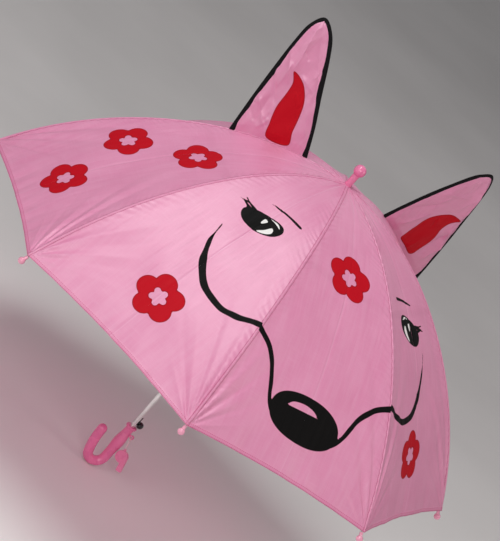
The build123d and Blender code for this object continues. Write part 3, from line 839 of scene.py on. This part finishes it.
def binding_material():
    """Black woven tape, folded over the ears' edges."""
    n = Nodes("binding_tape")
    place = n.add("ShaderNodeTexCoord").outputs["Object"]
    ribs = n.noise(place, 1100.0, 2.0)
    tint = n.mix(n.ramp(ribs, 0.35, 0.65), (0.002, 0.002, 0.003), (0.007, 0.006, 0.007))
    rough = n.ramp(ribs, 0.3, 0.7, 0.6, 0.8)
    normal = n.bump(ribs, 0.3, 0.0004)
    shader = n.principled(tint, rough, normal, Specular_IOR_Level=0.15)
    n.link(shader, n.output.inputs["Surface"])
    return n.material


def floor_material():
    """Pale matt board."""
    n = Nodes("floor")
    place = n.add("ShaderNodeTexCoord").outputs["Object"]
    tone = n.noise(place, 2.0, 4.0)
    grain = n.noise(place, 160.0, 3.0)
    tint = n.mix(n.ramp(tone, 0.3, 0.7), (0.62, 0.605, 0.60), (0.70, 0.685, 0.68))
    # Painted light: the board is painted paler towards the front, as if the lamps lit it more there.
    split = n.add("ShaderNodeSeparateXYZ")
    n.link(place, split.inputs[0])
    tint = n.mix(n.ramp(split.outputs[1], 0.9, -0.1), tint, (0.90, 0.90, 0.885))
    rough = n.ramp(grain, 0.3, 0.7, 0.75, 0.9)
    shader = n.principled(tint, rough, n.bump(grain, 0.05, 0.001))
    n.link(shader, n.output.inputs["Surface"])
    return n.material


# --- The scene ------------------------------------------------------------------------------


def paint_cad_nodes():
    """Gives every CAD node that stays in view its own material."""
    chrome = metal_material("shaft_chrome", (0.93, 0.92, 0.91), (0.76, 0.75, 0.74), 0.12)
    steel = metal_material("rib_steel", (0.60, 0.60, 0.61), (0.40, 0.40, 0.41), 0.32)
    handle = plastic_material("handle_plastic", HANDLE_PINK, (0.82, 0.16, 0.37), 0.28, 0.6)
    tips = plastic_material("tip_plastic", TIP_PINK, (0.86, 0.34, 0.48), 0.22, 0.6)
    ferrule = plastic_material("ferrule_plastic", FERRULE_PINK, (0.78, 0.17, 0.36), 0.22, 0.6)
    whistle = plastic_material("whistle_plastic", WHISTLE_PINK, (0.86, 0.22, 0.42), 0.32, 0.3)
    strap = plastic_material("strap_plastic", (0.86, 0.62, 0.66), (0.80, 0.54, 0.60), 0.25, 0.5)
    black = plastic_material("button_plastic", (0.012, 0.012, 0.013), (0.008, 0.008, 0.009), 0.25, 0.4)
    notch = plastic_material("notch_plastic", (0.80, 0.20, 0.38), (0.74, 0.15, 0.32), 0.35, 0.2)
    by_name = {
        "shaft_tube": chrome, "handle": handle, "ferrule_cap": ferrule, "whistle_strap": strap,
        "whistle": whistle, "catch_button": black, "crown_notch": notch, "runner": notch,
    }
    for name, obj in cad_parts.items():
        material = by_name.get(name)
        if material is None:
            material = tips if name.startswith("rib_tip") else steel
        obj.data.materials.clear()
        obj.data.materials.append(material)


def add_light(name, direction, distance, size, power, color, along=(0.0, 0.0, 1.0)):
    """A soft lamp that faces the middle of the canopy, with its height along a line."""
    lamp = bpy.data.lights.new(name, "AREA")
    lamp.shape = "RECTANGLE"
    lamp.size, lamp.size_y = size
    lamp.energy = power
    lamp.color = color
    obj = bpy.data.objects.new(name, lamp)
    middle = Vector((0.0, 0.0, 0.3))
    away = Vector(direction).normalized()
    across = Vector(along).cross(away).normalized()
    turn = Matrix((across, away.cross(across), away)).transposed()
    obj.matrix_world = Matrix.Translation(middle + away * distance) @ turn.to_4x4()
    bpy.context.scene.collection.objects.link(obj)


def set_stage():
    """The floor, the lamps, the pale surroundings and the camera."""
    reach = 12.0
    corners = [(x * reach, y * reach, FLOOR_Z) for x, y in ((-1, -1), (1, -1), (1, 1), (-1, 1))]
    floor = new_mesh("floor", corners, [(0, 1, 2, 3)], floor_material())
    key_line = (-0.69, -0.69, -0.25)
    add_light("key", (-0.40, -0.03, 0.91), 2.6, (0.8, 2.2), 33.0, (1.0, 0.99, 0.98), along=key_line)
    add_light("low", (-0.76, -0.56, 0.32), 2.4, (0.9, 0.9), 8.0, (1.0, 0.985, 0.97))
    add_light("right", (0.78, -0.50, 0.38), 3.2, (1.6, 1.6), 15.0, (1.0, 0.78, 0.76))
    add_light("near", (-0.38, -0.83, 0.40), 5.4, (1.6, 1.6), 58.0, (1.0, 0.96, 0.95))
    add_light("back", (0.55, 0.75, 0.55), 3.4, (1.6, 1.6), 5.0, (1.0, 0.97, 0.96))
    world = bpy.data.worlds.new("surroundings")
    world.use_nodes = True
    sky = world.node_tree.nodes["Background"]
    sky.inputs["Color"].default_value = (0.80, 0.79, 0.80, 1.0)
    sky.inputs["Strength"].default_value = 0.28
    bpy.context.scene.world = world
    lens = bpy.data.cameras.new("camera")
    lens.lens = CAMERA_LENS
    lens.clip_end = 60.0
    camera = bpy.data.objects.new("camera", lens)
    axes = Matrix((CAMERA_RIGHT, CAMERA_UP, -Vector(CAMERA_FORWARD))).transposed()
    camera.matrix_world = Matrix.Translation(CAMERA_PLACE) @ axes.to_4x4()
    bpy.context.scene.collection.objects.link(camera)
    bpy.context.scene.camera = camera


bpy.context.scene.view_settings.view_transform = "Standard"
set_stage()
paint_cad_nodes()
canopy_cloth = cloth_material("canopy_fabric", 0.42)
ear_cloth = cloth_material("ear_fabric", 0.34)
tape = binding_material()
for rib in range(1, PANELS + 1):
    for zone in range(len(ZONES)):
        canopy_piece(rib, zone, canopy_cloth)
for ear in EARS:
    make_ear(ear, ear_cloth, tape)
